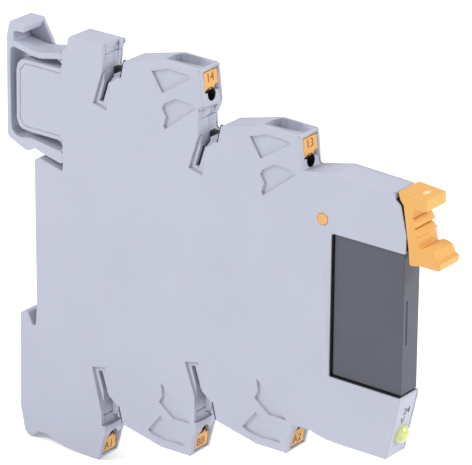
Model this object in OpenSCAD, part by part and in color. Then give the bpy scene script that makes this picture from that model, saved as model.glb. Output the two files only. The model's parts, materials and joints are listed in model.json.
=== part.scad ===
// Slim rail-mounted control relay: a spring-clamp terminal base with a plug-in miniature relay.
// +X points from the mounting rail to the operator, +Y runs along the rail, +Z is up.
// The origin is the middle of the rail seat: X = 0 is the plane that lies on the rail's flanges.

/* [Housing] */
// Thickness of the whole module along the rail
module_w = 6.2; // [6.2:0.05:6.5]
// Near side wall of the housing
side_wall = 0.9; // [0.8:0.05:0.95]
// Thickness of the far side cover
cover_t = 0.8; // [0.7:0.05:0.9]
// Wall that runs round the edge of the housing
rim_wall = 1.0; // [0.8:0.05:1.1]
// Depth of the triangular relief panels beside the terminals
relief_depth = 0.5; // [0.3:0.05:0.55]

/* [Terminals] */
// Step from one terminal to the next, away from the rail
tier_x = 22.8; // [22.6:0.1:23.0]
// Step from one terminal to the next, towards the middle
tier_z = 7.5; // [7.3:0.1:7.6]
// Width of the conductor entry
entry_w = 4.4; // [4.2:0.1:4.6]
// Diameter of the screwdriver hole of each clamp
driver_d = 2.4; // [2.2:0.1:2.5]
// Width of the orange marker plates
marker_w = 4.1; // [3.8:0.1:4.2]
// Thickness of the clamp spring's strip
spring_t = 0.3; // [0.2:0.05:0.35]

/* [Relay] */
// Height of the plug-in relay
relay_h = 28; // [27.6:0.1:28.0]
// Thickness of the plug-in relay
relay_t = 5.0; // [4.9:0.05:5.0]
// Wall of the relay's cap
relay_wall = 0.35; // [0.3:0.05:0.4]

/* [Lever] */
// Diameter of the pivot pin that is moulded on the lever
pivot_d = 2.2; // [1.8:0.1:2.4]
// Radial play of the pivot pin in the housing
pivot_play = 0.06; // [0.02:0.01:0.1]

/* [Indicator] */
// Diameter of the indicator lens
lens_d = 3.2; // [2.8:0.1:3.4]

/* [Hidden] */
$fn = 48;

// Thickness planes
y_near = -module_w / 2;
y_far = module_w / 2;
y_in = y_near + side_wall;
y_cover = y_far - cover_t;
past = 0.5;

// Rounding of the corners in the side view
edge_r = 0.45;
grip_r = 0.3;
arc_steps = 3;
straight_cos = cos(14);

// Tips of the terminal heads, where the outer face meets the front face
tip_14 = [40.1, 44.2];
tip_13 = tip_14 + [tier_x, -tier_z];
tip_bb = [38.2, -34.8];
tip_a1 = tip_bb + [-tier_x, -tier_z];
tip_a2 = tip_bb + [tier_x, tier_z];

// Bottom corner of each bridge shaft
shaft_14 = [14.8, 32.0];
shaft_13 = shaft_14 + [tier_x, -tier_z];
shaft_a1 = [14.0, -22.8];
shaft_bb = shaft_a1 + [tier_x, tier_z];

pivot = [68.3, 22.0];
window_back = 70.3;
window_low = -8.75;
window_high = 19.7;
// Lower front face, which leans back towards its foot
lean_top = [86.2, -9.45];
lean_foot = [83.5, -21.8];
front_lean = atan((lean_top[0] - lean_foot[0]) / (lean_top[1] - lean_foot[1]));
lens_z = -17.2;
lens_x = lean_foot[0] + (lens_z - lean_foot[1]) * tan(front_lean);

// Plug-in relay
relay_back = 70.65;
relay_front = 86.0;
relay_low = -8.4;
cap_end = 0.5;
base_front = 72.6;
pin_end = 67.2;
pin_t = 0.5;
pin_w = 1.0;
pin_no = 10.0;
pin_com = 12.6;
pin_nc = 15.2;
pin_coil_a = -5.6;
pin_coil_b = 0.4;
contact_x = 81;
rivet_r = 0.9;
hinge_x = 73.4;

// Circuit board
board_y = 1.3;
board_t = 0.8;

colour_housing = [0.74, 0.75, 0.80];
colour_orange = [0.93, 0.66, 0.33];
colour_relay = [0.36, 0.36, 0.40];
colour_metal = [0.78, 0.78, 0.80];
colour_copper = [0.80, 0.50, 0.32];

// ---- shared shapes -------------------------------------------------------------------------

function moved(points, by) = [for (p = points) p + by];

// One corner of an outline as an arc of radius r, or less where its sides are short
function corner_arc(before, at, after, r) =
    let (
        u = (before - at) / norm(before - at),
        v = (after - at) / norm(after - at),
        half = acos(max(-1, min(1, u * v))) / 2,
        reach = min(r / tan(half), 0.45 * norm(before - at), 0.45 * norm(after - at)),
        radius = reach * tan(half),
        centre = at + (u + v) / norm(u + v) * (radius / sin(half)),
        from = at + u * reach - centre,
        to = at + v * reach - centre,
        start = atan2(from[1], from[0]),
        turn = atan2(to[1], to[0]) - start,
        sweep = turn > 180 ? turn - 360 : turn < -180 ? turn + 360 : turn
    )
    [for (i = [0:arc_steps])
        let (angle = start + sweep * i / arc_steps)
        centre + radius * [cos(angle), sin(angle)]];

// A closed outline with its corners rounded, apart from the nearly straight ones
function rounded(points, r) =
    let (n = len(points))
    [for (i = [0:n - 1])
        let (
            a = points[(i + n - 1) % n],
            b = points[i],
            c = points[(i + 1) % n],
            bend_cos = (b - a) * (c - b) / (norm(b - a) * norm(c - b))
        )
        each bend_cos > straight_cos ? [b] : corner_arc(a, b, c, r)];

// A plate drawn in the side view as [depth, height] and filling the thickness from y0 to y1
module slab(y0, y1) {
    translate([0, y1, 0]) rotate([90, 0, 0]) linear_extrude(y1 - y0) children();
}

// A round rod across the thickness at a side-view point
module cross_rod(at, r, y0, y1) {
    translate([at[0], y1, at[1]]) rotate([90, 0, 0]) cylinder(r = r, h = y1 - y0);
}

// A box given by its lowest and highest corners
module block(low, high) {
    translate(low) cube(high - low);
}

// The side view of one terminal head, from its rear corner to its front face
function top_head(tip) = moved([[0.8, -7.1], [0, 0], [-7.8, 0.2], [-18.0, -2.3]], tip);
function low_head(tip) = moved([[-16.9, 1.9], [-7.2, -0.15], [0, 0], [1.5, 6.3]], tip);

foot_bay = [[7.4, 40.7], [7.2, 40.6], [7.2, 38.4], [6.8, 37.0], [-2.1, 36.9], [-3.1, 36.6], [-3.85, 35.8],
            [-4.2, 34.3], [-4.3, 24.5], [-3.7, 23.1], [-2.9, 22.6], [-0.9, 22.4], [5.9, 22.4], [6.8, 22.0],
            [7.2, 21.3], [7.2, 16.2], [1.2, 17.6], [0, 17.0]];
rail_hook = [[0, -13.7], [-0.3, -17.8], [-0.9, -18.2], [-2.1, -15.75], [-2.6, -15.5], [-4.2, -16.1],
             [-4.6, -36.4], [-3.5, -41.5], [-2.65, -42.3], [-1.6, -42.3], [-0.8, -41.7], [0, -40.9],
             [1.8, -40.8], [5.9, -41.8], [8.7, -42.3]];
low_front = [[66.1, -21.0], [69.7, -21.8], [74.3, -21.9], lean_foot, lean_top, [86.2, window_low]];
lever_cap = [[86.6, window_high], [86.6, 23.4], [85.3, 28.9], [84.2, 29.7], [84.1, 31.2], [71.0, 31.7],
             [63.5, 30.0]];
label_block = [[17.2, 38.2], [17.1, 39.1], [17.6, 44.0], [9.2, 44.0], [8.6, 43.4], [8.4, 41.9]];

// The housing's side view, counter-clockwise from the rail seat
outline = rounded(concat(
    rail_hook,
    [tip_a1, tip_a1 + [1.9, 6.9], [17.3, -32.0], [20.9, -31.6]],
    low_head(tip_bb),
    [[39.9, -24.6], [43.8, -24.2]],
    low_head(tip_a2),
    low_front,
    [[window_back, window_low], [window_back, window_high]],
    lever_cap,
    [for (i = [1:3]) top_head(tip_13)[i]],
    [[44.0, 31.2], [39.9, 31.4], [39.8, 34.4]],
    top_head(tip_14),
    [[21.2, 38.7]],
    label_block,
    foot_bay
), edge_r);

// The part of a head that stays solid round the conductor entry and the screwdriver hole
module head_block(tip, up) {
    translate(tip) scale([1, up])
        polygon([[-10.4, -6.6], [-3.4, -6.6], [-3.4, -9.2], [2, -9.2], [2, 1], [-10.4, 1]]);
}

// The solid round a bridge shaft, which leans with the shaft
module shaft_block(corner, up) {
    translate(corner) scale([1, up]) polygon([[-1.0, -1.1], [8.2, -2.2], [8.2, 12], [3.2, 12], [1.2, 7]]);
}

// The hollow inside the housing
module hollow_view() {
    difference() {
        offset(delta = -rim_wall) polygon(outline);
        head_block(tip_14, 1);
        head_block(tip_13, 1);
        head_block(tip_a1, -1);
        head_block(tip_bb, -1);
        head_block(tip_a2, -1);
        shaft_block(shaft_14, 1);
        shaft_block(shaft_13, 1);
        shaft_block(shaft_a1, -1);
        shaft_block(shaft_bb, -1);
    }
}

// Room for the lever's arm and its cam, open to the front and to the relay bay
lever_room = [[66.4, 19.6], [68.9, 15.9], [71.5, 15.9], [71.5, 19.65], [87, 19.65], [87, 30.3],
              [71.2, 30.5], [66.4, 29.4]];

// The conductor entry in plan, from its head's tip: wide towards the rail and narrow at the front face
entry_plan = [[-8.9, -2.0], [-7.0, -1.85], [-4.9, -1.6], [-2.1, -1.2], [-0.9, -0.85], [-0.5, -0.4],
              [-0.5, 0.6], [-1.1, 1.4], [-2.4, 1.95], [-4.3, 2.4], [-6.2, 2.4], [-7.9, 2.0], [-8.9, 0.9]];
plan_w = 4.4;

// The conductor entry, whose front wall slopes down to the clamp
module entry_cut(tip, up) {
    mouth = 1.5;
    deep = 7.5;
    intersection() {
        translate([tip[0], 0, tip[1] - deep - mouth]) scale([1, entry_w / plan_w, 1])
            linear_extrude(2 * (deep + mouth)) polygon(rounded(entry_plan, 0.6));
        slab(-entry_w, entry_w) translate(tip) scale([1, up])
            polygon([[-9.2, mouth], [-8.6, -deep], [-4.8, -deep], [-4.8, -4.6], [-1.4, -0.8], [-0.4, 0],
                     [0, mouth]]);
    }
}

// A round hole that guides a screwdriver from the front face down to the clamp spring
module driver_cut(tip, up) {
    slope = 30;
    translate([tip[0] + 0.7, -0.2, tip[1] - up * 5.2]) rotate([0, -90 - up * slope, 0])
        translate([0, 0, -1.5]) cylinder(d = driver_d, h = 9);
}

// The recess that holds a marker plate, in the front face of a head
module marker_cut(tip, up) {
    slab(-marker_w / 2 - 0.1, marker_w / 2 + 0.1) translate(tip) scale([1, up])
        polygon([[-1.0, -0.7], [2, -0.7], [2, -4.9], [-0.5, -4.9]]);
}

// A bridge shaft: a shallow recess in the side wall and a deep slot behind it
module shaft_cut(corner, up, depth_z) {
    rim = side_wall + 0.1;
    lean = 0.31;
    slab(y_near - past, y_near + rim) translate(corner) scale([1, up])
        polygon([[0, 0], [3.15, -0.8], [4.1, 5.0], [6.3, 6.6], [6.3, 12], [2.3, 12], [2.3, depth_z]]);
    slab(y_near, y_cover - 0.7) translate(corner) scale([1, up])
        polygon([[1.1, 0.6], [2.0, 0.4], [2.0 + lean * 4, 4.6], [4.3, 6.0], [4.3, 12], [2.4, 12],
                 [1.1 + lean * 4, 4.6]]);
}

// The thin slit that frees the lug beside a head
module slit_cut(corner, up) {
    slab(y_near - past, y_near + side_wall) translate(corner) scale([1, up])
        polygon([[6.4, 6.6], [6.65, 6.5], [7.45, 9.9], [7.2, 10.2]]);
}

// The two shallow relief panels on the side of a head
relief_large = [[-11.2, -2.7], [-8.8, -6.4], [-2.2, -2.1], [-2.9, -1.6], [-7.6, -1.4]];
relief_small = [[-8.8, -9.4], [-7.8, -10.9], [-8.5, -12.9], [-8.1, -13.4], [-1.0, -7.8], [-2.2, -7.1],
                [-5.7, -6.9], [-8.3, -8.5]];
low_large = [[-7.2, -13.3], [-6.9, -10.8], [-7.65, -9.3], [-4.2, -6.7], [-0.4, -6.9]];
low_small = [[-7.4, -6.4], [-10.4, -2.6], [-9.4, -2.0], [-6.2, -1.5], [-1.55, -1.8]];

module relief_cuts(y0, y1) {
    slab(y0, y1) {
        for (tip = [tip_14, tip_13]) {
            translate(tip) polygon(relief_large);
            translate(tip) polygon(relief_small);
        }
        for (tip = [tip_bb, tip_a2]) {
            translate(tip) scale([1, -1]) polygon(low_large);
            translate(tip) scale([1, -1]) polygon(low_small);
        }
    }
}

// A shallow groove just inside the edge of the panel behind the rail foot
module panel_groove(y0, y1) {
    g = 0.2;
    slab(y0, y1)
        polygon([[7.0, 36.0 + g], [-1.9, 36.0 + g], [-3.2, 34.6], [-3.35, 24.9], [-2.2, 23.3], [6.5, 23.3],
                 [6.5, 23.3 + g], [-2.1, 23.3 + g], [-3.35 + g, 25.0], [-3.2 + g, 34.5], [-1.8, 36.0],
                 [7.0, 36.0]]);
}

// Snap pegs of the side cover, and the sockets that they go into
pegs = [[3.5, 28.5], [3.2, -19], [30, 3], [23.5, -17]];
peg_r = 0.9;
peg_play = 0.04;
// Where each clamp spring turns, from its head's tip
bend = [-3.9, -13.7];
post_r = 1.0;
function bend_at(tip, up) = tip + [bend[0], up * bend[1]];

// ---- shells --------------------------------------------------------------------------------

module housing() color(colour_housing) {
    difference() {
        slab(y_near, y_cover) polygon(outline);
        slab(y_in, y_cover + past) hollow_view();
        slab(y_in, y_cover + past) polygon(lever_room);
        for (head = [[tip_14, 1], [tip_13, 1], [tip_a1, -1], [tip_bb, -1], [tip_a2, -1]]) {
            entry_cut(head[0], head[1]);
            driver_cut(head[0], head[1]);
            marker_cut(head[0], head[1]);
        }
        for (shaft = [[shaft_14, 1, 7.1], [shaft_13, 1, 7.1], [shaft_a1, -1, 9.3], [shaft_bb, -1, 6.4]]) {
            shaft_cut(shaft[0], shaft[1], shaft[2]);
            slit_cut(shaft[0], shaft[1]);
        }
        relief_cuts(y_near - past, y_near + relief_depth);
        panel_groove(y_near - past, y_near + 0.15);
        cross_rod(pivot, pivot_d / 2 + pivot_play, y_near - past, y_in + past);
        // hole for the indicator lens through the leaning front wall
        translate([lens_x, 0, lens_z]) rotate([0, 90 + front_lean, 0])
            cylinder(d = lens_d + 0.1, h = 4, center = true);
        // slots for the relay's pins through the back wall of the relay bay
        for (z = [pin_no, pin_com, pin_nc, pin_coil_a, pin_coil_b])
            block([window_back - rim_wall - past, -0.9, z - 0.6], [window_back + past, 0.9, z + 0.6]);
    }
    // sockets for the cover's pegs
    for (p = pegs) difference() {
        cross_rod(p, peg_r + 0.8, y_in, 0.6);
        cross_rod(p, peg_r + peg_play, y_in + 0.2, 0.6 + past);
    }
    // posts that the clamp springs turn on
    for (head = [[tip_14, 1], [tip_13, 1], [tip_a1, -1], [tip_bb, -1], [tip_a2, -1]])
        cross_rod(bend_at(head[0], head[1]), post_r, y_in, y_cover - 0.1);
    // rests for the circuit board
    for (p = [[48.2, -1], [48.2, 10], [65.5, -14]]) cross_rod(p, 0.8, y_in, board_y);
}

module side_cover() color(colour_housing) {
    difference() {
        slab(y_cover, y_far) polygon(outline);
        relief_cuts(y_far - relief_depth, y_far + past);
        cross_rod(pivot, pivot_d / 2 + pivot_play, y_cover - past, y_far + past);
    }
    for (p = pegs) cross_rod(p, peg_r, y_in + 0.4, y_cover);
}

// The springy loop that snaps over the upper flange of the rail
foot_outer = [[7.0, 40.5], [5.6, 39.9], [3.2, 39.4], [1.2, 39.0], [-1.0, 39.3], [-3.0, 39.7], [-4.8, 40.0],
              [-4.5, 42.1], [-2.0, 42.2], [-1.7, 43.6], [-2.0, 44.0], [-5.4, 44.0], [-5.75, 43.6],
              [-6.4, 40.9], [-6.5, 35.8], [-6.6, 20.9], [-6.2, 20.2], [-3.45, 18.95], [-2.45, 18.5],
              [-1.7, 18.4],
              [-0.9, 18.7], [-0.4, 19.1], [0.3, 19.3], [1.8, 18.8], [7.0, 17.6]];
foot_inner = [[7.0, 20.2], [0.35, 21.1], [-0.9, 21.2], [-3.2, 20.8], [-4.4, 21.0], [-5.4, 22.0],
              [-5.6, 23.8], [-5.6, 36.0], [-5.4, 38.5], [-4.8, 38.9], [-2.5, 38.5], [-0.3, 38.0],
              [1.9, 37.9], [6.1, 38.75], [7.0, 38.6]];

module rail_foot() color(colour_housing) {
    slab(y_near, y_far) polygon(rounded(concat(foot_outer, foot_inner), edge_r));
    // gusset on the far side of the screwdriver pocket
    slab(y_far - 0.8, y_far) polygon([[-2.6, 42.0], [-1.9, 43.9], [0.9, 39.0], [-2.6, 39.4]]);
}

// ---- lever and indicator -------------------------------------------------------------------

lever_grip = [[84.6, 31.35], [85.05, 29.9], [85.8, 29.0], [87.1, 20.9], [87.4, 18.0], [88.0, 17.9],
              [89.75, 18.3], [93.8, 18.3], [94.1, 19.8], [93.3, 20.1], [92.5, 21.6], [91.6, 21.9],
              [90.55, 22.0], [89.4, 21.4], [89.0, 23.5], [89.2, 24.0], [88.1, 25.0], [88.7, 25.6],
              [87.8, 26.9], [88.4, 28.9], [90.9, 28.9], [90.7, 31.2], [84.9, 31.6]];
lever_arm = [[87.5, 20.4], [87.5, 23.4], [71.5, 23.6], [69.0, 24.0], [66.9, 23.2], [66.5, 21.4],
             [68.9, 17.1], [69.6, 16.8], [70.3, 16.9], [70.5, 17.3], [70.5, 20.4]];

module retaining_lever() color(colour_orange) {
    slab(y_near, y_far) polygon(rounded(lever_grip, grip_r));
    slab(y_in + 0.2, y_cover - 0.2) polygon(lever_arm);
    cross_rod(pivot, pivot_d / 2, y_near, y_far);
}

module indicator_lens() color([0.78, 0.84, 0.48]) {
    dome = 1.0;
    r = lens_d / 2;
    ball = (r * r + dome * dome) / (2 * dome);
    translate([lens_x, 0, lens_z]) rotate([0, 90 + front_lean, 0]) {
        translate([0, 0, -2.0]) cylinder(r = r, h = 2.0);
        translate([0, 0, -2.4]) cylinder(r = r + 0.4, h = 0.8);
        intersection() {
            cylinder(r = r, h = dome + past);
            translate([0, 0, dome - ball]) sphere(r = ball);
        }
    }
}

// ---- terminals -----------------------------------------------------------------------------

// A marker plate with a lower step that leaves room for the screwdriver
module marker(tip, up) color(colour_orange) {
    w = marker_w / 2;
    translate([tip[0], 0, tip[1]]) mirror([0, 0, up < 0 ? 1 : 0]) {
        slab(-w, w) polygon([[-0.9, -0.8], [0.05, -0.8], [0.35, -3.7], [-0.45, -3.9]]);
        slab(-w, w - 0.9) polygon([[-0.55, -3.7], [0.35, -3.7], [0.1, -4.6], [-0.35, -4.6]]);
    }
}

// A strip drawn between two side-view points
module strip_view(a, b, t) {
    across = [a[1] - b[1], b[0] - a[0]] * (t / 2 / norm(b - a));
    polygon([a + across, b + across, b - across, a - across]);
}

// A leaf spring bent round its post: the upper leg holds the conductor on the current bar
module clamp_spring(tip, up) color(colour_metal) {
    inner = post_r + 0.12;
    half_w = 1.8;
    mid = inner + spring_t / 2;
    translate([tip[0], 0, tip[1]]) mirror([0, 0, up < 0 ? 1 : 0]) translate([bend[0], 0, bend[1]]) {
        difference() {
            cross_rod([0, 0], inner + spring_t, -half_w, half_w);
            cross_rod([0, 0], inner, -half_w - past, half_w + past);
            slab(-half_w - past, half_w + past) polygon([[0, 0], [-3, -3 * tan(15)], [-3, 3 * tan(24)]]);
        }
        slab(-half_w, half_w) {
            strip_view(mid * [cos(118), sin(118)], [-3.7, 2.7], spring_t);
            strip_view(mid * [cos(240), sin(240)], [-3.4, -2.0], spring_t);
        }
    }
}

// A bent copper bar: the clamping tab in the terminal and the flat lead that leaves it
module current_bar(tip, up, lead, to_board) color(colour_copper) {
    tab_x = tip[0] - 9.6;
    bar_t = 0.6;
    tab_far = tip[1] - up * 6.9;
    tab_near = tip[1] - up * 15.5;
    block([tab_x, -1.9, min(tab_far, tab_near)], [tab_x + bar_t, 1.9, max(tab_far, tab_near)]);
    slab(-1.9, -1.3) {
        for (i = [0:len(lead) - 2]) strip_view(lead[i], lead[i + 1], 1.6);
        if (len(lead) > 2) for (i = [1:len(lead) - 2]) translate(lead[i]) circle(r = 0.8);
    }
    last = lead[len(lead) - 1];
    if (to_board) block([last[0] - 0.8, -1.5, last[1] - 0.4], [last[0], board_y, last[1] + 0.4]);
}

lead_14 = [tip_14 + [-9.3, -15.0], [31.5, 17.5], [45, 14.6], [60, pin_no], [62.9, pin_no]];
lead_13 = [tip_13 + [-9.3, -15.0], [55.5, 17.0], [60, pin_com], [62.9, pin_com]];
lead_a1 = [tip_a1 + [-9.3, 15.0], [9.0, -12.0], [30, -6.0], [47.2, -6.0]];
lead_bb = [tip_bb + [-9.3, 15.0], [31.5, -9.0], [47.2, -9.0]];
lead_a2 = [tip_a2 + [-9.3, 12.5], tip_a2 + [-9.3, 18.3]];

// A fork spring in a bridge shaft, which a plug-in bridge goes into
module bridge_contact(corner, up) color(colour_metal) {
    t = 0.22;
    slab(-1.7, 1.3) translate(corner) scale([1, up]) {
        strip_view([1.42, 0.95], [2.62, 4.8], t);
        strip_view([1.88, 0.8], [3.0, 4.5], t);
        strip_view([1.35, 0.95], [1.95, 0.8], t);
    }
}

// ---- circuit board -------------------------------------------------------------------------

module circuit_board() color([0.16, 0.42, 0.24]) {
    slab(board_y, board_y + board_t)
        polygon([[46, -10.2], [60.5, -10.2], [60.5, -17], [67, -17], [67, -18.8], [80.5, -18.8],
                 [81.5, -11.2], [68.6, -11.2], [68.6, 14.6], [46, 14.6]]);
}

// Small parts stand on the board's near face
module on_board(at, size, height) {
    block([at[0] - size[0] / 2, board_y - height, at[1] - size[1] / 2],
          [at[0] + size[0] / 2, board_y, at[1] + size[1] / 2]);
}

module rectifier_diodes() color([0.15, 0.15, 0.16]) {
    for (x = [51.5, 55.5], z = [-4.5, 0.5]) on_board([x, z], [2.6, 4.3], 2.0);
}

module resistors() color([0.10, 0.10, 0.11]) {
    for (z = [-8.4, -5.6, -2.8]) on_board([60, z], [3.2, 1.6], 0.6);
    for (x = [71.5, 75.5]) on_board([x, -15.5], [2.0, 1.25], 0.5);
}

module capacitor() color([0.72, 0.56, 0.36]) on_board([53.5, 6.5], [5.0, 4.0], 2.2);

module indicator_led() color([0.95, 0.95, 0.85]) on_board([79.6, -16.4], [1.4, 2.0], 1.9);

// A socket: two leaves that grip a relay pin, and a tail that reaches the board
module socket(z) color(colour_metal) {
    leaf = 0.3;
    gap = pin_t / 2 + 0.03;
    for (low = [z - gap - leaf, z + gap]) block([64.4, -0.8, low], [68.9, 0.8, low + leaf]);
    block([63.8, -0.8, z - gap - leaf], [64.4, board_y, z + gap + leaf]);
    block([62.9, -1.9, z - 0.5], [63.8, -0.2, z + 0.5]);
}

// ---- plug-in relay -------------------------------------------------------------------------

relay_high = relay_low + relay_h;
relay_y = relay_t / 2;
inner_y = relay_y - relay_wall;

module relay_cap() color(colour_relay) {
    difference() {
        block([relay_back, -relay_y, relay_low], [relay_front, relay_y, relay_high]);
        block([relay_back - past, -inner_y, relay_low + cap_end],
              [relay_front - cap_end, inner_y, relay_high - cap_end]);
        // narrow groove down the front face
        block([relay_front - 0.2, -1.45, 1.3], [relay_front + past, -1.15, 10]);
    }
}

module relay_base() color([0.22, 0.22, 0.24]) {
    side = inner_y - 0.05;
    difference() {
        block([relay_back + 0.2, -side, relay_low + cap_end + 0.05],
              [base_front, side, relay_high - cap_end - 0.05]);
        for (z = [pin_no, pin_com, pin_nc, pin_coil_a, pin_coil_b])
            block([relay_back - past, -pin_w / 2 - 0.03, z - pin_t / 2 - 0.03],
                  [base_front + past, pin_w / 2 + 0.03, z + pin_t / 2 + 0.03]);
    }
    // ledges that carry the yoke
    for (z = [-3.4, 5.2]) block([base_front, -1.6, z], [73.2, 1.6, z + 1.2]);
}

module relay_pin(z, front) block([pin_end, -pin_w / 2, z - pin_t / 2], [front, pin_w / 2, z + pin_t / 2]);

coil_low = -6.4;
coil_high = 7.0;
flange_t = 0.8;

module coil_bobbin() color([0.85, 0.84, 0.78]) {
    difference() {
        union() {
            for (z = [coil_low, coil_high - flange_t]) block([74.6, -2.05, z], [82.4, 2.05, z + flange_t]);
            block([76.6, -1.35, coil_low], [79.8, 1.35, coil_high]);
        }
        block([77.05, -0.9, coil_low - past], [79.35, 0.9, coil_high + past]);
    }
}

module coil_winding() color([0.72, 0.34, 0.16]) {
    gap = 0.05;
    r = 1.9;
    low = coil_low + flange_t + gap;
    high = coil_high - flange_t - gap;
    difference() {
        union() {
            block([74.9 + r, -r, low], [82.1 - r, r, high]);
            for (x = [74.9 + r, 82.1 - r]) translate([x, 0, low]) cylinder(r = r, h = high - low);
        }
        block([76.6 - gap, -1.35 - gap, coil_low], [79.8 + gap, 1.35 + gap, coil_high]);
    }
}

module coil_core() color([0.62, 0.63, 0.66]) block([77.1, -0.85, -7.2], [79.3, 0.85, 8.1]);

module yoke() color([0.62, 0.63, 0.66]) {
    block([73.2, -1.9, -7.8], [74.3, 1.9, 8.35]);
    block([74.3, -1.9, -7.8], [80.2, 1.9, -7.2]);
}

module armature() color([0.66, 0.67, 0.70]) block([73.3, -1.7, 8.5], [83.2, 1.7, 9.2]);

module armature_spring() color(colour_metal) {
    slab(-1.2, 1.2)
        polygon([[72.75, 6.6], [72.95, 6.6], [72.95, 9.3], [73.9, 9.3], [73.9, 9.45], [72.75, 9.45]]);
}

// The card that carries the armature's movement to the moving contact
module actuator_card() color([0.90, 0.88, 0.80]) {
    difference() {
        block([82.5, -1.75, 8.0], [84.2, 1.75, 14.9]);
        block([82, -1.85, 8.38], [83.4, 1.85, 9.32]);
        block([82, -1.85, 13.88], [83.6, 1.85, 14.32]);
    }
}

module moving_contact() color(colour_copper) {
    block([hinge_x, -1.3, 14.0], [83.4, 1.3, 14.2]);
    translate([contact_x, 0, 13.6]) cylinder(r = rivet_r, h = 1.0);
}

module com_terminal() color(colour_copper) {
    relay_pin(pin_com, 73.1);
    block([72.7, -1.3, pin_com - pin_t / 2], [73.1, 1.3, 14.2]);
}

module no_contact() color(colour_copper) {
    relay_pin(pin_no, 73.9);
    block([73.5, -1.3, pin_no - pin_t / 2], [73.9, 1.3, 12.7]);
    block([73.5, -1.3, 12.3], [82.0, 1.3, 12.7]);
    translate([contact_x, 0, 12.7]) cylinder(r = rivet_r, h = 0.48);
}

module nc_contact() color(colour_copper) {
    relay_pin(pin_nc, 73.4);
    block([73.0, -1.3, pin_nc - pin_t / 2], [73.4, 1.3, 15.9]);
    block([73.0, -1.3, 15.5], [82.0, 1.3, 15.9]);
    translate([contact_x, 0, 14.64]) cylinder(r = rivet_r, h = 0.86);
}

module coil_pin(z) color(colour_copper) relay_pin(z, 73.0);

// ---- nodes ---------------------------------------------------------------------------------

housing();
side_cover();
rail_foot();
retaining_lever();
indicator_lens();
marker(tip_14, 1);  // marker_14
marker(tip_13, 1);  // marker_13
marker(tip_a1, -1);  // marker_a1
marker(tip_bb, -1);  // marker_bb
marker(tip_a2, -1);  // marker_a2
clamp_spring(tip_14, 1);  // clamp_spring_14
clamp_spring(tip_13, 1);  // clamp_spring_13
clamp_spring(tip_a1, -1);  // clamp_spring_a1
clamp_spring(tip_bb, -1);  // clamp_spring_bb
clamp_spring(tip_a2, -1);  // clamp_spring_a2
current_bar(tip_14, 1, lead_14, false);  // current_bar_14
current_bar(tip_13, 1, lead_13, false);  // current_bar_13
current_bar(tip_a1, -1, lead_a1, true);  // current_bar_a1
current_bar(tip_bb, -1, lead_bb, true);  // current_bar_bb
current_bar(tip_a2, -1, lead_a2, true);  // current_bar_a2
bridge_contact(shaft_14, 1);  // bridge_contact_14
bridge_contact(shaft_13, 1);  // bridge_contact_13
bridge_contact(shaft_a1, -1);  // bridge_contact_a1
bridge_contact(shaft_bb, -1);  // bridge_contact_bb
circuit_board();
rectifier_diodes();
resistors();
capacitor();
indicator_led();
socket(pin_no);  // socket_no
socket(pin_com);  // socket_com
socket(pin_coil_a);  // socket_coil_a
socket(pin_coil_b);  // socket_coil_b
relay_cap();
relay_base();
coil_bobbin();
coil_winding();
coil_core();
yoke();
armature();
armature_spring();
actuator_card();
moving_contact();
com_terminal();
no_contact();
nc_contact();
coil_pin(pin_coil_a);  // coil_pin_a
coil_pin(pin_coil_b);  // coil_pin_b
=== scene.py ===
"""Looks of the rail-mounted control relay: mouldings, markings, metal parts, stage and camera."""

import json
import math

import bmesh
import bpy
from mathutils import Matrix, Vector


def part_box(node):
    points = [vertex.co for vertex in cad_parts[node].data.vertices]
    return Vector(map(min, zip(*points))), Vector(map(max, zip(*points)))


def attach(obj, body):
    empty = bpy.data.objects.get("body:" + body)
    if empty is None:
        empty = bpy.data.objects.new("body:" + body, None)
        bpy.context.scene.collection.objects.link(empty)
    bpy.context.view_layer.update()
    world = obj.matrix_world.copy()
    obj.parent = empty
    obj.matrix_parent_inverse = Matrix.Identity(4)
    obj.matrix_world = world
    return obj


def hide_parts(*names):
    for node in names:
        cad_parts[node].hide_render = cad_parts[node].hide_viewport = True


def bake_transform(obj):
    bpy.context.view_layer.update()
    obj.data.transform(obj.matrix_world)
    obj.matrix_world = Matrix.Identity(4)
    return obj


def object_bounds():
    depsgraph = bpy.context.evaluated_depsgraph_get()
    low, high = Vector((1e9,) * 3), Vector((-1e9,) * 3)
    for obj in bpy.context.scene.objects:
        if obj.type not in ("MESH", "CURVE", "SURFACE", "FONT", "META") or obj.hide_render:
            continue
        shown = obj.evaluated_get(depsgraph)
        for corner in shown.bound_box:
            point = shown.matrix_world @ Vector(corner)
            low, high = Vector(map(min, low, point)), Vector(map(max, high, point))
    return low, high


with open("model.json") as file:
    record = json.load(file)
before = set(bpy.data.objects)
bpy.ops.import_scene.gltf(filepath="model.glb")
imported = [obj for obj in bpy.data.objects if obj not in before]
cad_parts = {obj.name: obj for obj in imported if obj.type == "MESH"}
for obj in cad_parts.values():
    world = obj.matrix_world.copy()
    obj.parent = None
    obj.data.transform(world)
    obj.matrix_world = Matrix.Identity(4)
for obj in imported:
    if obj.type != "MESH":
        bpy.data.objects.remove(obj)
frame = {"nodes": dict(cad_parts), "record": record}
cad_low, cad_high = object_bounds()

MM = 0.001
NEAR_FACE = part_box("housing")[0].y
FAR_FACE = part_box("side_cover")[1].y
IN_PLANE = 0.01 * MM


# ---- materials -----------------------------------------------------------------------------


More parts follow.
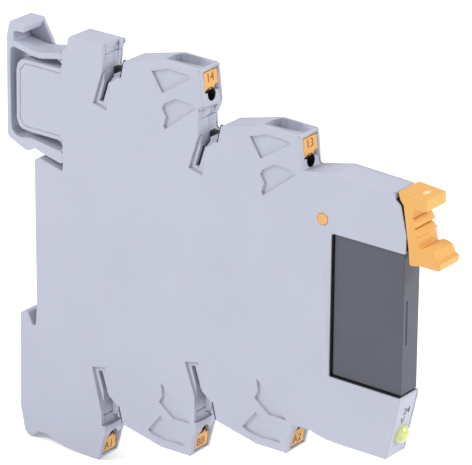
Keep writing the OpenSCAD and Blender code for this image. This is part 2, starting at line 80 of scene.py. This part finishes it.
class Finish:
    """A material under construction: its nodes, and short calls that add to them."""

    def __init__(self, name, colour, roughness, **sockets):
        self.material = bpy.data.materials.new(name)
        self.material.use_nodes = True
        self.tree = self.material.node_tree
        self.shader = self.tree.nodes["Principled BSDF"]
        self.colour = colour
        self.shader.inputs["Base Color"].default_value = (*colour, 1)
        self.shader.inputs["Roughness"].default_value = roughness
        for socket, value in sockets.items():
            self.shader.inputs[socket.replace("_", " ")].default_value = value
        self.place = self.tree.nodes.new("ShaderNodeTexCoord").outputs["Object"]
        self.bumps = None

    def noise(self, size, detail=3.0, stretch=None):
        """Noise whose spots are about size across, in metres."""
        node = self.tree.nodes.new("ShaderNodeTexNoise")
        node.inputs["Scale"].default_value = 1 / size
        node.inputs["Detail"].default_value = detail
        source = self.place
        if stretch:
            mapping = self.tree.nodes.new("ShaderNodeMapping")
            mapping.inputs["Scale"].default_value = stretch
            self.tree.links.new(source, mapping.inputs["Vector"])
            source = mapping.outputs["Vector"]
        self.tree.links.new(source, node.inputs["Vector"])
        return node.outputs["Fac"]

    def bands(self, size, axis):
        """Even ridges, size apart, that follow one another along an axis."""
        node = self.tree.nodes.new("ShaderNodeTexWave")
        node.bands_direction = axis
        node.wave_profile = "SIN"
        node.inputs["Scale"].default_value = math.pi / (10 * size)
        self.tree.links.new(self.place, node.inputs["Vector"])
        return node.outputs["Fac"]

    def ramp(self, source, low, high):
        """A value from low to high as the source goes through its middle part."""
        node = self.tree.nodes.new("ShaderNodeMapRange")
        node.inputs["From Min"].default_value = 0.3
        node.inputs["From Max"].default_value = 0.7
        node.inputs["To Min"].default_value = low
        node.inputs["To Max"].default_value = high
        self.tree.links.new(source, node.inputs["Value"])
        return node.outputs["Result"]

    def tint(self, source, other):
        """Blend the base colour towards another one where the source is high."""
        node = self.tree.nodes.new("ShaderNodeMix")
        node.data_type = "RGBA"
        for socket in node.inputs:
            if socket.name == "A" and socket.type == "RGBA":
                socket.default_value = (*self.colour, 1)
            if socket.name == "B" and socket.type == "RGBA":
                socket.default_value = (*other, 1)
        self.tree.links.new(self.ramp(source, 0, 1), node.inputs["Factor"])
        result = next(o for o in node.outputs if o.type == "RGBA")
        self.tree.links.new(result, self.shader.inputs["Base Color"])

    def rough(self, source, low, high):
        """Let the roughness run from low to high with the source."""
        self.tree.links.new(self.ramp(source, low, high), self.shader.inputs["Roughness"])

    def bump(self, source, depth):
        """Raise the surface by up to depth, in metres, where the source is high."""
        node = self.tree.nodes.new("ShaderNodeBump")
        node.inputs["Distance"].default_value = depth
        self.tree.links.new(source, node.inputs["Height"])
        if self.bumps:
            self.tree.links.new(self.bumps, node.inputs["Normal"])
        self.bumps = node.outputs["Normal"]
        self.tree.links.new(self.bumps, self.shader.inputs["Normal"])


def scaled(colour, by):
    """A lighter or darker version of a colour."""
    return tuple(min(1.0, c * by) for c in colour)


def moulded(name, colour, roughness, grain=0.25 * MM, depth=0.006 * MM, mottle=0.04, **sockets):
    """Injection-moulded plastic: a spark-eroded grain, faint flow marks and uneven gloss."""
    finish = Finish(name, colour, roughness, **sockets)
    flow = finish.noise(14 * MM, detail=4)
    finish.tint(flow, scaled(colour, 1 - mottle))
    finish.rough(finish.noise(3 * MM, detail=5), roughness - 0.05, roughness + 0.07)
    finish.bump(finish.noise(grain, detail=2), depth)
    finish.bump(finish.noise(9 * MM, detail=1), 0.01 * MM)
    return finish.material


DRAWN_ACROSS_HEIGHT = (1, 1, 9)
DRAWN_ACROSS_DEPTH = (9, 1, 1)


def rolled_metal(name, colour, roughness, tarnish, along=DRAWN_ACROSS_HEIGHT):
    """Sheet or strip metal with drawing lines and a little tarnish."""
    finish = Finish(name, colour, roughness, Metallic=1.0)
    finish.tint(finish.noise(2.5 * MM, detail=5), tarnish)
    lines = finish.noise(0.5 * MM, detail=3, stretch=along)
    finish.rough(lines, roughness - 0.08, roughness + 0.12)
    finish.bump(lines, 0.004 * MM)
    return finish.material


def wound_wire(name, colour, wire):
    """Enamelled wire wound in even turns, with a painted highlight along the crest of each turn."""
    finish = Finish(name, colour, 0.3, Coat_Weight=0.6)
    turns = finish.bands(wire, "Z")
    # Painted highlight: the crest of each turn is coloured half again lighter than the grooves
    # between turns.
    finish.tint(turns, scaled(colour, 1.5))
    finish.bump(turns, wire / 3)
    return finish.material


def board_laminate(name, colour):
    """Solder mask over glass weave, with copper tracks that show through as lighter lines."""
    finish = Finish(name, colour, 0.35, Coat_Weight=0.3)
    cells = finish.tree.nodes.new("ShaderNodeTexVoronoi")
    cells.distance = "CHEBYCHEV"
    cells.inputs["Scale"].default_value = 1 / (3.2 * MM)
    finish.tree.links.new(finish.place, cells.inputs["Vector"])
    finish.tint(cells.outputs["Distance"], scaled(colour, 1.7))
    finish.bump(finish.noise(0.3 * MM, detail=2), 0.004 * MM)
    return finish.material


def tinted_lens(name, colour):
    """Clear tinted plastic with a polished face."""
    finish = Finish(
        name, colour, 0.12,
        Transmission_Weight=0.06, Coat_Weight=0.7, Coat_Roughness=0.05, IOR=1.49,
    )
    finish.tint(finish.noise(1.6 * MM, detail=2), scaled(colour, 1.25))
    finish.rough(finish.noise(1.0 * MM, detail=3), 0.08, 0.18)
    return finish.material


GREY = (0.393, 0.407, 0.490)
ORANGE = (0.655, 0.335, 0.078)

MATERIALS = {
    "housing_plastic": moulded("light_grey_moulding", GREY, 0.48),
    "orange_plastic": moulded("orange_moulding", ORANGE, 0.4, depth=0.004 * MM, mottle=0.05),
    "lens": tinted_lens("yellow_green_lens", (0.50, 0.545, 0.19)),
    "relay_plastic": moulded(
        "dark_grey_moulding", (0.058, 0.060, 0.088), 0.36, depth=0.005 * MM, mottle=0.1
    ),
    "relay_base_plastic": moulded("black_moulding", (0.014, 0.013, 0.014), 0.6, mottle=0.15),
    "insulator": moulded("cream_moulding", (0.72, 0.69, 0.58), 0.5),
    "winding": wound_wire("copper_winding", (0.42, 0.13, 0.045), 0.12 * MM),
    "soft_iron": rolled_metal("plated_iron", (0.56, 0.56, 0.58), 0.38, (0.44, 0.43, 0.42)),
    "spring_steel": rolled_metal("spring_strip", (0.66, 0.66, 0.67), 0.25, (0.52, 0.51, 0.5)),
    "tinned_copper": rolled_metal(
        "tinned_strip", (0.74, 0.73, 0.7), 0.32, (0.62, 0.6, 0.55), DRAWN_ACROSS_DEPTH
    ),
    "contact_metal": rolled_metal("plated_contact", (0.78, 0.78, 0.77), 0.22, (0.66, 0.65, 0.62)),
    "contact_copper": rolled_metal(
        "copper_strip", (0.78, 0.42, 0.27), 0.28, (0.55, 0.27, 0.16), DRAWN_ACROSS_DEPTH
    ),
    "board": board_laminate("green_laminate", (0.02, 0.11, 0.05)),
    "electronics": moulded("epoxy_body", (0.03, 0.03, 0.033), 0.45, mottle=0.2),
    "led_chip": moulded("led_body", (0.8, 0.78, 0.62), 0.3, depth=0.002 * MM),
}
# A paler copy of the orange moulding: a painted highlight for the oval disc on the lever's top
# grip.
LEVER_HIGHLIGHT = moulded("orange_painted_highlight", (0.9, 0.62, 0.33), 0.25, mottle=0.05)
BROWN_PRINT = moulded("brown_print", (0.27, 0.11, 0.04), 0.5, mottle=0.2)
GREY_PRINT = moulded("grey_print", (0.1, 0.1, 0.12), 0.5, mottle=0.2)


# ---- camera, light and floor ---------------------------------------------------------------


def toward(azimuth, elevation):
    """The direction from the object to a place round it; azimuth 0 is off the near face."""
    a, e = math.radians(azimuth), math.radians(elevation)
    return Vector((math.sin(a) * math.cos(e), -math.cos(a) * math.cos(e), math.sin(e)))


def add_camera():
    azimuth, elevation, distance = 37.077, 22.544, 0.6633
    roll = math.radians(0.448)
    aim = Vector((0.04637, 0, 0.01275))
    back = toward(azimuth, elevation)
    right = Vector((math.cos(math.radians(azimuth)), math.sin(math.radians(azimuth)), 0))
    up = back.cross(right)
    across = right * math.cos(roll) + up * math.sin(roll)
    upward = up * math.cos(roll) - right * math.sin(roll)
    camera = bpy.data.objects.new("camera", bpy.data.cameras.new("camera"))
    bpy.context.scene.collection.objects.link(camera)
    camera.data.sensor_width = 36
    camera.data.lens = 272.5
    camera.data.clip_start = 0.05
    turn = Matrix((across, upward, back)).transposed().to_4x4()
    camera.matrix_world = Matrix.Translation(aim + back * distance) @ turn
    bpy.context.scene.camera = camera


def add_softbox(name, azimuth, elevation, distance, size, power):
    """A square area light that faces the object."""
    back = toward(azimuth, elevation)
    data = bpy.data.lights.new(name, "AREA")
    data.size, data.energy = size, power
    lamp = bpy.data.objects.new(name, data)
    bpy.context.scene.collection.objects.link(lamp)
    middle_of_object = Vector((0.045, 0, 0))
    lamp.location = middle_of_object + back * distance
    lamp.rotation_euler = (-back).to_track_quat("-Z", "Y").to_euler()


def add_stage():
    """A white studio with two softboxes and a pale floor just under the object."""
    world = bpy.data.worlds.new("studio")
    world.use_nodes = True
    sky = world.node_tree.nodes["Background"]
    sky.inputs["Color"].default_value = (1.0, 1.0, 1.0, 1)
    sky.inputs["Strength"].default_value = 0.72
    bpy.context.scene.world = world
    bpy.context.scene.view_settings.view_transform = "Standard"
    add_softbox("key", -38, 44, 0.9, 0.35, 4.6)
    add_softbox("front", 112, 34, 0.9, 0.4, 5.0)
    bpy.ops.object.select_all(action="DESELECT")
    bpy.ops.mesh.primitive_plane_add(size=6, location=(0, 0, cad_low.z - 0.0002))
    floor = bpy.context.object
    floor.name = "floor"
    paint = Finish("floor_paint", (0.95, 0.95, 0.95), 0.8, Emission_Strength=0.16)
    paint.shader.inputs["Emission Color"].default_value = (1, 1, 1, 1)
    paint.tint(paint.noise(0.3, detail=2), (0.94, 0.94, 0.94))
    floor.data.materials.append(paint.material)


# ---- making pieces -------------------------------------------------------------------------


def only(obj):
    """Select one object and nothing else."""
    bpy.ops.object.select_all(action="DESELECT")
    obj.select_set(True)
    bpy.context.view_layer.objects.active = obj


def cad_copy(node, name):
    """A merged copy of a CAD node's mesh, with each flat area as few faces as it can be."""
    obj = bpy.data.objects.new(name, frame["nodes"][node].data.copy())
    bpy.context.scene.collection.objects.link(obj)
    only(obj)
    bpy.ops.object.mode_set(mode="EDIT")
    bpy.ops.mesh.select_all(action="SELECT")
    bpy.ops.mesh.remove_doubles(threshold=0.001 * MM)
    bpy.ops.mesh.dissolve_limited(angle_limit=math.radians(0.5))
    bpy.ops.object.mode_set(mode="OBJECT")
    return obj


def pick_edges(obj, wanted):
    """Select, in edit mode, the edges between two faces that wanted says yes to."""
    only(obj)
    bpy.ops.object.mode_set(mode="EDIT")
    bpy.ops.mesh.select_mode(type="EDGE")
    bpy.ops.mesh.select_all(action="DESELECT")
    mesh = bmesh.from_edit_mesh(obj.data)
    for edge in mesh.edges:
        if len(edge.link_faces) == 2 and wanted(edge):
            edge.select_set(True)
    bmesh.update_edit_mesh(obj.data)


def sharp(edge, degrees=28):
    return edge.calc_face_angle(0) > math.radians(degrees)


def round_edges(obj, width, wanted=sharp, segments=2):
    """Round off the wanted edges."""
    pick_edges(obj, wanted)
    bpy.ops.mesh.bevel(
        offset=width, segments=segments, profile=0.5, affect="EDGES", clamp_overlap=False,
        miter_outer="SHARP", loop_slide=False,
    )
    bpy.ops.object.mode_set(mode="OBJECT")


def smooth(obj, degrees=32):
    """Shade the roundings smoothly and keep the flat faces flat."""
    only(obj)
    bpy.ops.object.shade_smooth_by_angle(angle=math.radians(degrees))
    weigh = obj.modifiers.new("flat faces first", "WEIGHTED_NORMAL")
    weigh.keep_sharp = True
    weigh.weight = 90
    bpy.ops.object.modifier_apply(modifier=weigh.name)


def dress(obj, slot_name, body, *nodes):
    """Give a finished piece its material, its body and the CAD nodes that it stands for."""
    obj.data.materials.clear()
    obj.data.materials.append(MATERIALS[slot_name])
    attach(obj, body)
    if nodes:
        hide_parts(*nodes)


def into_triangles(obj):
    """Split all faces, because a rounding goes wrong on a flat face with very many corners."""
    only(obj)
    bpy.ops.object.mode_set(mode="EDIT")
    bpy.ops.mesh.select_all(action="SELECT")
    bpy.ops.mesh.quads_convert_to_tris(quad_method="BEAUTY", ngon_method="BEAUTY")
    bpy.ops.object.mode_set(mode="OBJECT")


def at_plane(part, y):
    """True where a whole edge or face lies in the side-view plane at y."""
    return all(abs(v.co.y - y) < IN_PLANE for v in part.verts)


def drop_folded(obj, y, outward):
    """Delete the small faces of the plane at y that a rounding has folded over."""
    only(obj)
    bpy.ops.object.mode_set(mode="EDIT")
    bpy.ops.mesh.select_mode(type="FACE")
    bpy.ops.mesh.select_all(action="DESELECT")
    mesh = bmesh.from_edit_mesh(obj.data)
    mesh.normal_update()
    for face in mesh.faces:
        if at_plane(face, y) and face.normal.y * outward < 0:
            face.select_set(True)
    bmesh.update_edit_mesh(obj.data)
    bpy.ops.mesh.delete(type="ONLY_FACE")
    bpy.ops.object.mode_set(mode="OBJECT")


def wall_depth(edge, y):
    """How far from the plane at y the wall beside an edge of that plane reaches."""
    return max(abs(v.co.y - y) for face in edge.link_faces for v in face.verts)


def prism(name, outline, y0, y1):
    """A solid with this outline in the side view, in millimetres, from y0 to y1."""
    bpy.ops.object.select_all(action="DESELECT")
    bpy.ops.mesh.primitive_circle_add(vertices=len(outline), radius=MM, fill_type="NGON")
    obj = bpy.context.object
    obj.name = name
    for vertex, (x, z) in zip(obj.data.vertices, outline):
        vertex.co = (x * MM, y0 * MM, z * MM)
    bpy.ops.object.mode_set(mode="EDIT")
    bpy.ops.mesh.select_all(action="SELECT")
    bpy.ops.mesh.extrude_region_move(TRANSFORM_OT_translate={"value": (0, (y1 - y0) * MM, 0)})
    bpy.ops.mesh.select_all(action="SELECT")
    bpy.ops.mesh.normals_make_consistent(inside=False)
    bpy.ops.object.mode_set(mode="OBJECT")
    return obj


def box(name, low, high):
    """A block between two corners, in millimetres."""
    corners = [(low[0], low[2]), (high[0], low[2]), (high[0], high[2]), (low[0], high[2])]
    return prism(name, corners, low[1], high[1])


def strip(name, x0, x1, start, end, width):
    """A cutter that runs in the front view from start to end, each (y, z), and from x0 to x1."""
    (y0, z0), (y1, z1) = start, end
    length = math.hypot(y1 - y0, z1 - z0)
    obj = box(name, (x0, -length / 2, -width / 2), (x1, length / 2, width / 2))
    turn = Matrix.Rotation(math.atan2(z1 - z0, y1 - y0), 4, "X")
    obj.data.transform(Matrix.Translation((0, (y0 + y1) / 2 * MM, (z0 + z1) / 2 * MM)) @ turn)
    return obj


def turned_to(facing, upward):
    """The turn that makes Z look along facing and Y along upward."""
    across = upward.cross(facing)
    return Matrix((across, upward, facing)).transposed().to_4x4()


def carve(obj, cutters):
    """Take the cutters out of the piece."""
    for cutter in cutters:
        only(obj)
        cut = obj.modifiers.new("cut", "BOOLEAN")
        cut.operation = "DIFFERENCE"
        cut.solver = "EXACT"
        cut.object = cutter
        bpy.ops.object.modifier_apply(modifier=cut.name)
        bpy.data.objects.remove(cutter)


# ---- shells --------------------------------------------------------------------------------

RIM = 0.3 * MM
LIP = 0.15 * MM
WELD = 0.065 * MM
SHALLOW = 0.3 * MM
SHORT = 0.14 * MM
FOOT_ROOTS = (6.9 * MM, 7.25 * MM)
FOOT_END = 7.24 * MM
SLOT_END = 7.25
SEAM_WIDTH = 0.17

# From one terminal tier to the next, and the foot of each bridge shaft: x, z and which way it runs.
TIER = (22.8, -7.5)
SHAFTS = {"14": (14.8, 32.0, 1), "a1": (14.0, -22.8, -1)}
SHAFTS["13"] = (SHAFTS["14"][0] + TIER[0], SHAFTS["14"][1] + TIER[1], 1)
SHAFTS["bb"] = (SHAFTS["a1"][0] + TIER[0], SHAFTS["a1"][1] - TIER[1], -1)


def seam_cutters():
    """The parting lines on the neck above each bridge shaft, and the ledge line across it."""
    cutters = []
    for name, (x, z, up) in SHAFTS.items():
        neck = x + 2.3
        ledge = 9.9
        top = 12.3 if name == "13" else 11.5
        lines = [
            ((-2.3, ledge), (3.3, ledge)),
            ((3.3, top), (0.4, top - 0.6)),
            ((0.5, top - 0.5), (0.5, ledge)),
            ((0.1, ledge), (0.1, 7.2)),
        ]
        for (y0, z0), (y1, z1) in lines:
            start, end = (y0, z + up * z0), (y1, z + up * z1)
            cutters.append(strip("seam", neck - 0.4, neck + 0.3, start, end, SEAM_WIDTH))
    return cutters


def make_shell(node, name, face_y, through):
    """One half of the housing, with its outer edge well rounded and its recesses a little.

    Edges whose wall goes deeper than through are its outline, and the others its recesses.
    """
    shell = cad_copy(node, name)
    only(shell)
    bpy.ops.object.mode_set(mode="EDIT")
    bpy.ops.mesh.select_all(action="SELECT")
    bpy.ops.mesh.remove_doubles(threshold=WELD)
    bpy.ops.object.mode_set(mode="OBJECT")
    carve(shell, seam_cutters())
    into_triangles(shell)

    def at_foot(edge):
        return all(FOOT_ROOTS[0] < v.co.x < FOOT_ROOTS[1] for v in edge.verts)

    def outline(edge):
        return (
            at_plane(edge, face_y)
            and sharp(edge)
            and wall_depth(edge, face_y) > through
            and not at_foot(edge)
        )

    def recess(edge):
        return (
            at_plane(edge, face_y)
            and sharp(edge)
            and SHALLOW < wall_depth(edge, face_y) < through
            and edge.calc_length() > SHORT
        )

    round_edges(shell, RIM, outline, 3)
    round_edges(shell, LIP, recess, 2)
    drop_folded(shell, face_y, 1 if face_y > 0 else -1)
    smooth(shell)
    dress(shell, "housing_plastic", "base", node)


def make_foot():
    """The springy loop, grown into the housing at both roots."""
    foot = cad_copy("rail_foot", "spring_foot")
    root = max(v.co.x for v in foot.data.vertices) - 0.02 * MM
    for vertex in foot.data.vertices:
        if vertex.co.x > root:
            vertex.co.x = FOOT_END
    round_edges(
        foot, 0.2 * MM,
        lambda e: sharp(e)
        and (at_plane(e, NEAR_FACE) or at_plane(e, FAR_FACE))
        and not all(v.co.x > FOOT_END - 0.04 * MM for v in e.verts),
        3,
    )
    smooth(foot)
    foot.data.materials.clear()
    foot.data.materials.append(MATERIALS["housing_plastic"])
    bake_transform(foot)
    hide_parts("rail_foot")


def slot_ends():
    """The rounded ends of the two slots between the springy loop and the housing."""
    quarter_turn = [math.radians(a) for a in range(0, 91, 15)]
    y0, y1 = NEAR_FACE / MM + 0.02, FAR_FACE / MM - 0.02
    for name, z, up in (
        ("slot_end_a", 38.62, -1),
        ("slot_end_b", 36.75, 1),
        ("slot_end_c", 22.65, -1),
        ("slot_end_d", 20.35, 1),
    ):
        corner = (SLOT_END + 0.05, z - up * 0.05)
        arc = [
            (SLOT_END - (1 - math.sin(t)), z + up * (1 - math.cos(t))) for t in quarter_turn
        ]
        piece = prism(name, [corner] + arc, y0, y1)
        round_edges(piece, 0.04 * MM, lambda e: sharp(e, 60), 1)
        smooth(piece)
        dress(piece, "housing_plastic", "base")


def pocket_wall():
    """The thin wall that closes the screwdriver pocket of the foot on the far side."""
    outline = [(-4.6, 40.1), (0.85, 39.1), (-1.85, 43.6), (-4.4, 42.2)]
    wall = prism("pocket_wall", outline, 2.2, 2.9)
    round_edges(wall, 0.05 * MM, sharp, 1)
    dress(wall, "housing_plastic", "rail_foot")


# ---- lever and relay -----------------------------------------------------------------------


HANDLE_FROM = 84 * MM
HIGHLIGHT_DISC_RADIUS = 0.5 * MM


def make_lever():
    """The lever, with grooves under its ribs and softened edges, and a shallow oval disc on its top
    grip in a paler orange, a painted highlight.
    """
    lever = cad_copy("retaining_lever", "lever")
    carve(lever, [
        box("groove", (87.55, -2.75, 26.75), (88.6, 3.4, 27.05)),
        box("groove", (87.7, -2.75, 24.85), (88.7, 3.4, 25.15)),
    ])
    round_edges(
        lever, 0.2 * MM,
        lambda e: sharp(e)
        and min(v.co.x for v in e.verts) > HANDLE_FROM
        and (at_plane(e, NEAR_FACE) or at_plane(e, FAR_FACE)),
        3,
    )
    smooth(lever)
    dress(lever, "orange_plastic", "lever", "retaining_lever")

    # A shallow oval disc on the top grip, coloured paler orange as a painted highlight.
    bpy.ops.object.select_all(action="DESELECT")
    bpy.ops.mesh.primitive_cylinder_add(vertices=32, radius=HIGHLIGHT_DISC_RADIUS, depth=0.1 * MM)
    mark = bpy.context.object
    mark.name = "lever_highlight_disc"
    slope = math.atan2(0.15, 5.8)
    mark.data.transform(
        Matrix.Translation((88.8 * MM, -0.15 * MM, 31.36 * MM))
        @ Matrix.Rotation(slope, 4, "Y")
        @ Matrix.Diagonal((1.0, 2.0, 1.0, 1.0))
    )
    round_edges(mark, 0.04 * MM, lambda e: sharp(e, 60), 2)
    smooth(mark)
    dress(mark, "orange_plastic", "lever")
    mark.data.materials[0] = LEVER_HIGHLIGHT


def make_relay_cap():
    cap = cad_copy("relay_cap", "relay_case")
    round_edges(cap, 0.16 * MM, sharp, 3)
    smooth(cap)
    dress(cap, "relay_plastic", "relay", "relay_cap")


def bay_shade_sheets():
    """Black sheets that paint shade into the narrow gaps round the relay and behind the lever."""
    relay_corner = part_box("relay_cap")[0] / MM
    left, bottom = relay_corner.x - 0.29, relay_corner.z - 0.28
    right, top = left + 0.1, 19.2
    front, above = 86.0, bottom + 0.1
    near = NEAR_FACE / MM + 0.12
    side = [(left, bottom), (right, bottom), (right, top), (left, top)]
    floor = [(left, bottom), (front, bottom), (front, above), (left, above)]
    cap_edge = [
        (86.62, 20.3), (86.7, 20.3), (86.7, 23.4), (85.42, 28.8), (85.3, 29.02), (84.4, 29.68),
        (84.3, 29.95), (84.22, 29.95), (84.33, 29.62), (85.24, 28.95), (85.36, 28.74),
        (86.62, 23.4),
    ]
    # Painted shade: thin black sheets along the relay bay's side wall and floor, and along the
    # cap's edge behind the lever.
    shade_sheets = [
        ("bay_side_shade_sheet", side, near, -1.3),
        ("bay_floor_shade_sheet", floor, near, 2.2),
        ("cap_edge_shade_sheet", cap_edge, near, near + 0.73),
    ]
    for name, outline, y0, y1 in shade_sheets:
        shade_sheet = prism(name, outline, y0, y1)
        round_edges(shade_sheet, 0.02 * MM, lambda e: sharp(e, 80), 1)
        dress(shade_sheet, "relay_base_plastic", "base")


# ---- terminals -----------------------------------------------------------------------------

# The outer edge of each terminal's marker: x, z, which way is outward, and its text.
HEADS = {
    "14": (40.1, 44.2, 1, "14"),
    "a2": (61.0, -27.3, -1, "A2"),
    "bb": (38.2, -34.8, -1, "BB"),
}
HEADS["13"] = (HEADS["14"][0] + TIER[0], HEADS["14"][1] + TIER[1], 1, "13")
HEADS["a1"] = (HEADS["bb"][0] - TIER[0], HEADS["bb"][1] + TIER[1], -1, "A1")


def lettering(name, words, size, centre, facing, upward, ink):
    """Raised lettering on the base, given where its centre is and which way it looks."""
    bpy.ops.object.select_all(action="DESELECT")
    bpy.ops.object.text_add()
    text = bpy.context.object
    text.name = name
    text.data.body = words
    text.data.align_x, text.data.align_y = "CENTER", "CENTER"
    text.data.size = size * MM
    text.data.extrude = 0.04 * MM
    text.data.offset = -0.004 * size * MM
    bpy.ops.object.convert(target="MESH")
    text = bpy.context.object
    text.data.transform(Matrix.Translation(centre * MM) @ turned_to(facing, upward))
    dress(text, "relay_plastic", "base")
    text.data.materials[0] = ink


PLATE_LEAN, PLATE_RISE = 0.3, 2.9
WIRE_SLANT = math.radians(30)
# Size of the black tube that paints shade inside each screwdriver hole.
HOLE_SHADE_RADIUS = 1.18 * MM
HOLE_SHADE_DEPTH = 7 * MM
NUMERAL_SIZE = 2.35


def make_terminal(key):
    """A marker plate with its numeral, and a black tube in the screwdriver hole as painted shade.
    """
    x, z, up, words = HEADS[key]
    marker = cad_copy("marker_" + key, "marker_plate_" + key)
    for vertex in marker.data.vertices:
        if up * (vertex.co.z / MM - z) > -0.9:
            vertex.co.z -= up * 0.14 * MM
    round_edges(marker, 0.1 * MM, lambda e: sharp(e, 40) and e.calc_length() > 0.5 * MM, 2)
    smooth(marker)
    dress(marker, "orange_plastic", "base", "marker_" + key)

    length = math.hypot(PLATE_LEAN, PLATE_RISE)
    facing = Vector((PLATE_RISE, 0, PLATE_LEAN * up)) / length
    upward = Vector((-PLATE_LEAN * up, 0, PLATE_RISE)) / length
    middle = Vector((x + 0.2, -0.15, z - up * 2.15))
    lettering("numeral_" + key, words, NUMERAL_SIZE, middle, facing, upward, BROWN_PRINT)

    # Painted shade: a thin black tube lining the screwdriver hole, so that its inside looks dark.
    down = Vector((-math.cos(WIRE_SLANT), 0, -math.sin(WIRE_SLANT) * up))
    start = Vector((x + 0.7, -0.2, z - up * 5.2))
    bpy.ops.object.select_all(action="DESELECT")
    bpy.ops.mesh.primitive_cylinder_add(
        vertices=32, radius=HOLE_SHADE_RADIUS, depth=HOLE_SHADE_DEPTH, end_fill_type="NGON"
    )
    well = bpy.context.object
    well.name = "screwdriver_hole_shade_" + key
    turn = down.to_track_quat("-Z", "Y").to_matrix().to_4x4()
    well.data.transform(Matrix.Translation((start + down * 2.0) * MM) @ turn)
    bpy.ops.object.mode_set(mode="EDIT")
    bpy.ops.mesh.select_all(action="SELECT")
    bpy.ops.mesh.bisect(
        plane_co=Vector((x + 0.5, 0, z - up * 5.2)) * MM, plane_no=facing, clear_outer=True,
        use_fill=False,
    )
    bpy.ops.mesh.select_all(action="SELECT")
    bpy.ops.mesh.solidify(thickness=0.08 * MM)
    bpy.ops.mesh.select_all(action="SELECT")
    bpy.ops.mesh.normals_make_consistent(inside=False)
    bpy.ops.object.mode_set(mode="OBJECT")
    bpy.ops.object.shade_smooth_by_angle(angle=math.radians(32))
    dress(well, "relay_base_plastic", "base")


def make_shaft(key):
    """Black blocks as painted shade in a bridge shaft and the slit beside it, and the frame of its
    slot.
    """
    x, z, up = SHAFTS[key]
    # Painted shade: black blocks inside the shaft, in the cavity above it and in the slit beside
    # it.
    shade_blocks = (
        ("shaft_shade_block_", [(1.15, 0.7), (1.78, 0.55), (2.88, 4.4), (2.36, 4.6)], -1.76, 1.2),
        ("shaft_rear_shade_", [(2.45, 4.75), (3.3, 4.7), (4.2, 6.05), (4.2, 6.9), (2.45, 6.9)], 0.2, 1.5),
        ("slit_shade_sheet_", [(6.42, 6.62), (6.66, 6.52), (7.43, 9.88), (7.22, 10.12)], -2.95, -2.3),
    )
    for name, view, y0, y1 in shade_blocks:
        piece = prism(name + key, [(x + px, z + up * pz) for px, pz in view], y0, y1)
        round_edges(piece, 0.03 * MM, lambda e: sharp(e, 60), 1)
        dress(piece, "relay_base_plastic", "base")

    frame_view = [
        (0.06, 0.03), (3.12, -0.76), (4.06, 4.98), (3.4, 4.78), (2.02, 0.42), (1.12, 0.62),
        (2.36, 4.6), (2.42, 6.6), (2.2, 6.6),
    ]
    outline = [(x + px, z + up * pz) for px, pz in frame_view]
    rim = prism("shaft_frame_" + key, outline, -2.55, -2.05)
    round_edges(rim, 0.06 * MM, lambda e: sharp(e, 60), 2)
    smooth(rim)
    dress(rim, "housing_plastic", "base")


# The leaning front between its top and bottom edges, each (x, z), and the lens on it.
FRONT_TOP = (86.2, -9.45)
FRONT_FOOT = (83.5, -21.8)
LENS_HEIGHT = -17.2
LENS_RADIUS = 1.85 * MM
LENS_SUNK = 0.25
LENS_ROOT = 0.6
RATING_SIZE = 2.0


def make_indicator():
    """A domed lens and the rating above it, on the leaning front."""
    lean = math.atan2(FRONT_TOP[0] - FRONT_FOOT[0], FRONT_TOP[1] - FRONT_FOOT[1])
    facing = Vector((math.cos(lean), 0, -math.sin(lean)))
    upward = Vector((math.sin(lean), 0, math.cos(lean)))
    lens_x = FRONT_FOOT[0] + (LENS_HEIGHT - FRONT_FOOT[1]) * math.tan(lean)
    centre = Vector((lens_x, 0, LENS_HEIGHT))
    bpy.ops.object.select_all(action="DESELECT")
    bpy.ops.mesh.primitive_uv_sphere_add(segments=40, ring_count=24, radius=LENS_RADIUS)
    lens = bpy.context.object
    lens.name = "lens_dome"
    lens.data.transform(
        Matrix.Translation((centre - facing * LENS_SUNK) * MM) @ turned_to(facing, upward)
    )
    bpy.ops.object.mode_set(mode="EDIT")
    bpy.ops.mesh.select_all(action="SELECT")
    bpy.ops.mesh.bisect(
        plane_co=(centre - facing * LENS_ROOT) * MM, plane_no=facing, clear_inner=True,
        use_fill=True,
    )
    bpy.ops.object.mode_set(mode="OBJECT")
    bpy.ops.object.shade_smooth_by_angle(angle=math.radians(32))
    dress(lens, "lens", "base", "indicator_lens")
    for words, up_by, aside in (("24", 4.9, 0.2), ("V", 2.95, -0.6)):
        middle = centre + upward * up_by + facing * 0.02 + Vector((0, aside, 0))
        lettering("rating_" + words, words, RATING_SIZE, middle, facing, upward, GREY_PRINT)


make_shell("housing", "near_shell", NEAR_FACE, 1.1 * MM)
make_shell("side_cover", "far_cover", FAR_FACE, 0.6 * MM)
make_foot()
slot_ends()
pocket_wall()
make_lever()
make_relay_cap()
bay_shade_sheets()
for head in HEADS:
    make_terminal(head)
for shaft in SHAFTS:
    make_shaft(shaft)
make_indicator()

for part in frame["record"]["subparts"]:
    node = frame["nodes"][part["node"]]
    node.data.materials.clear()
    node.data.materials.append(MATERIALS[part["material_slot"]])

add_stage()
add_camera()
